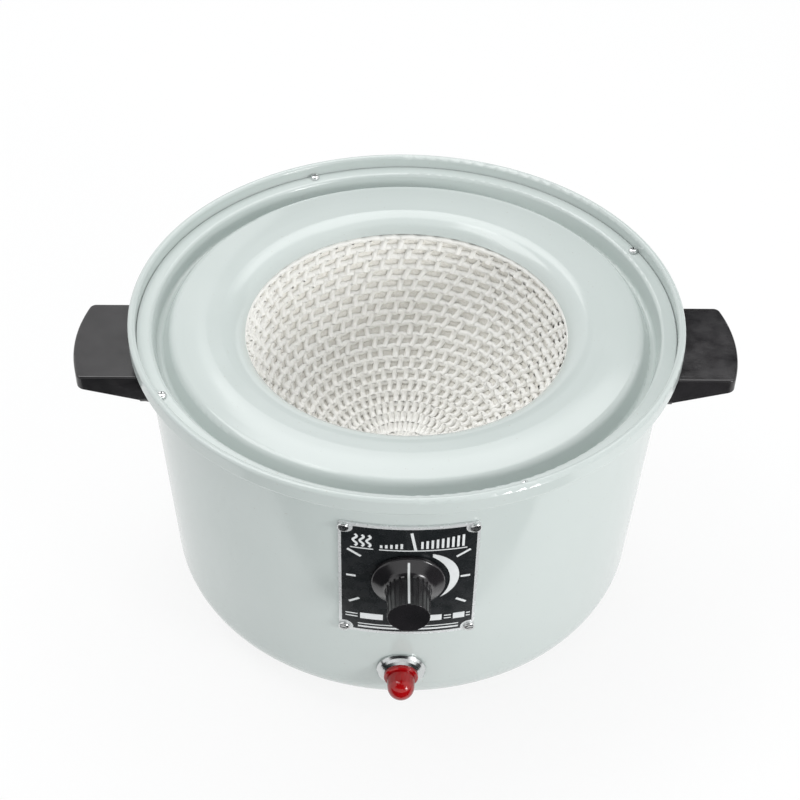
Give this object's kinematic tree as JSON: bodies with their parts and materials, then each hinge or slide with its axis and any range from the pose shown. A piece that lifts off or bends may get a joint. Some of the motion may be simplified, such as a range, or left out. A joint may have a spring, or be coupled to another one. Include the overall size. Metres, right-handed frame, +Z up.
{
  "type": "laboratory heating mantle",
  "caption": "Round enamelled heating mantle with a woven glass-fibre well for a round flask, gutter cover, side handles, front power dial and signal lamp.",
  "frame": {"origin": "on the pot's vertical axis at bench level, under the middle of the feet", "axes": "+Z up through the mouth of the well, -Y out of the dial at the front, +X along the right handle"},
  "size_m": [0.2786, 0.2525, 0.1405],
  "materials": {
    "enamel": "gloss enamel, very pale grey-green",
    "glass_cord": "woven glass-fibre cord, cream-white",
    "glass_wool": "felted glass wool",
    "pan_metal": "spun, satin",
    "zinc": "bright zinc plate",
    "bakelite": "moulded, gloss black",
    "plate_black": "gloss black print on aluminium",
    "mark_white": "white paint fill",
    "bright_chrome": "polished",
    "lens_red": "clear red, gloss",
    "foot_rubber": "matt black",
    "lamp_plastic": "moulded, white",
    "gland_plastic": "moulded nylon, black",
    "board_laminate": "phenolic board",
    "part_black": "moulded component",
    "part_red": "dipped film capacitor",
    "part_tan": "resistor body",
    "choke_winding": "enamelled copper winding",
    "sink_metal": "extruded, satin",
    "terminal_plastic": "moulded, green",
    "block_ceramic": "steatite",
    "brass_nut": "turned",
    "sleeve": "glass-fibre sleeving",
    "lead_red": "insulated lead"
  },
  "bodies": {
    "body": {"block_screws": "zinc", "board_screws": "zinc", "board_standoffs": "brass_nut", "board_terminals": "terminal_plastic", "capacitor": "part_red", "choke": "choke_winding", "circuit_board": "board_laminate", "control_leads": "lead_red", "cover_screws": "zinc", "dial_marks": "mark_white", "dial_nuts": "zinc", "dial_plate": "plate_black", "dial_screws": "zinc", "earth_nut": "zinc", "earth_screw": "zinc", "foot_nuts": "zinc", "foot_screws": "zinc", "gland_body": "gland_plastic", "gland_cap": "gland_plastic", "gland_locknut": "gland_plastic", "gland_seal": "foot_rubber", "heat_sink": "sink_metal", "heater_leads": "sleeve", "heating_basket": "glass_cord", "inner_pan": "pan_metal", "insulation_bowl": "glass_wool", "lamp_bezel": "bright_chrome", "lamp_body": "lamp_plastic", "lamp_leads": "lead_red", "lamp_lens": "lens_red", "lamp_nut": "part_black", "lead_bushes": "block_ceramic", "left_handle": "bakelite", "left_handle_screws": "zinc", "outer_shell": "enamel", "pan_nuts": "zinc", "potentiometer": "part_black", "potentiometer_nut": "zinc", "potentiometer_washer": "zinc", "resistors": "part_tan", "right_handle": "bakelite", "right_handle_screws": "zinc", "rubber_feet": "foot_rubber", "standoff_screws": "zinc", "terminal_block": "block_ceramic", "top_cover": "enamel", "triac": "part_black"},
    "knob": {"control_knob": "bakelite", "knob_pointer": "mark_white", "knob_set_screw": "zinc", "control_shaft": "zinc"}
  },
  "joints": [
    {"name": "power_knob", "type": "hinge", "parent": "body", "child": "knob", "pos_m": [0, -0.10627, 0.0906], "axis": [0, -0.9981, -0.0622], "range_deg": [-135, 135]}
  ]
}
